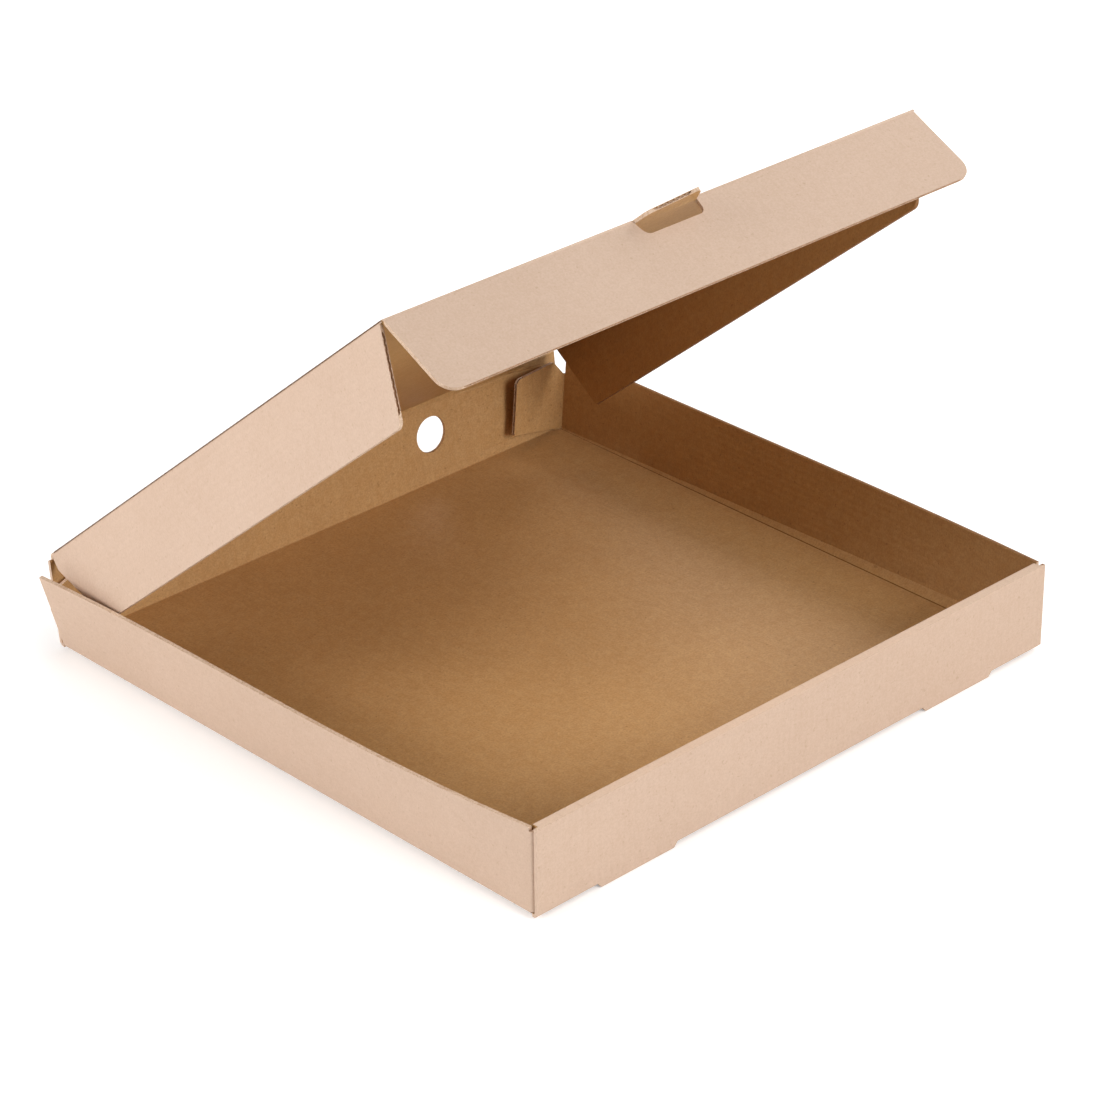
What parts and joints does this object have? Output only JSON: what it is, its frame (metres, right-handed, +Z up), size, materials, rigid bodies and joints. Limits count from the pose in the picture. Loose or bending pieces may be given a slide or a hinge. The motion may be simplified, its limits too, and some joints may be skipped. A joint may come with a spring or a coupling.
{
  "type": "pizza box",
  "caption": "Square corrugated cardboard pizza box with roll-over front wall and a hinged lid with flaps and thumb tab, propped partly open.",
  "frame": {"origin": "middle of the square underside, on the plane that the box stands on", "axes": "+X along the front wall to the right seen from the front, +Y towards the hinge wall, +Z up"},
  "size_m": [0.3196, 0.3093, 0.2367],
  "materials": {
    "kraft_board": "matt"
  },
  "bodies": {
    "tray": {"tray": "kraft_board"},
    "lid": {"lid": "kraft_board"},
    "lid_front_flap": {"lid_front_flap": "kraft_board"},
    "lid_left_flap": {"lid_left_flap": "kraft_board"},
    "lid_right_flap": {"lid_right_flap": "kraft_board"}
  },
  "joints": [
    {"name": "lid_hinge", "type": "hinge", "parent": "tray", "child": "lid", "pos_m": [0, 0.15591, 0.04006], "axis": [-1, 0, 0], "range_deg": [-39.5, 140]},
    {"name": "front_flap_hinge", "type": "hinge", "parent": "lid", "child": "lid_front_flap", "pos_m": [0, -0.06915, 0.22926], "axis": [-1, 0, 0], "range_deg": [-18.91, 67.01]},
    {"name": "left_flap_hinge", "type": "hinge", "parent": "lid", "child": "lid_left_flap", "pos_m": [-0.1505, 0.15771, 0.04225], "axis": [0, 0.7716, -0.6361], "range_deg": [-12.21, 43.3]},
    {"name": "right_flap_hinge", "type": "hinge", "parent": "lid", "child": "lid_right_flap", "pos_m": [0.1505, 0.15771, 0.04225], "axis": [0, -0.7716, 0.6361], "range_deg": [-12, 12.5]}
  ],
  "couplings": [
    {"joint": "front_flap_hinge", "follows": "lid_hinge", "ratio": 0.4786},
    {"joint": "left_flap_hinge", "follows": "lid_hinge", "ratio": 0.3089}
  ]
}
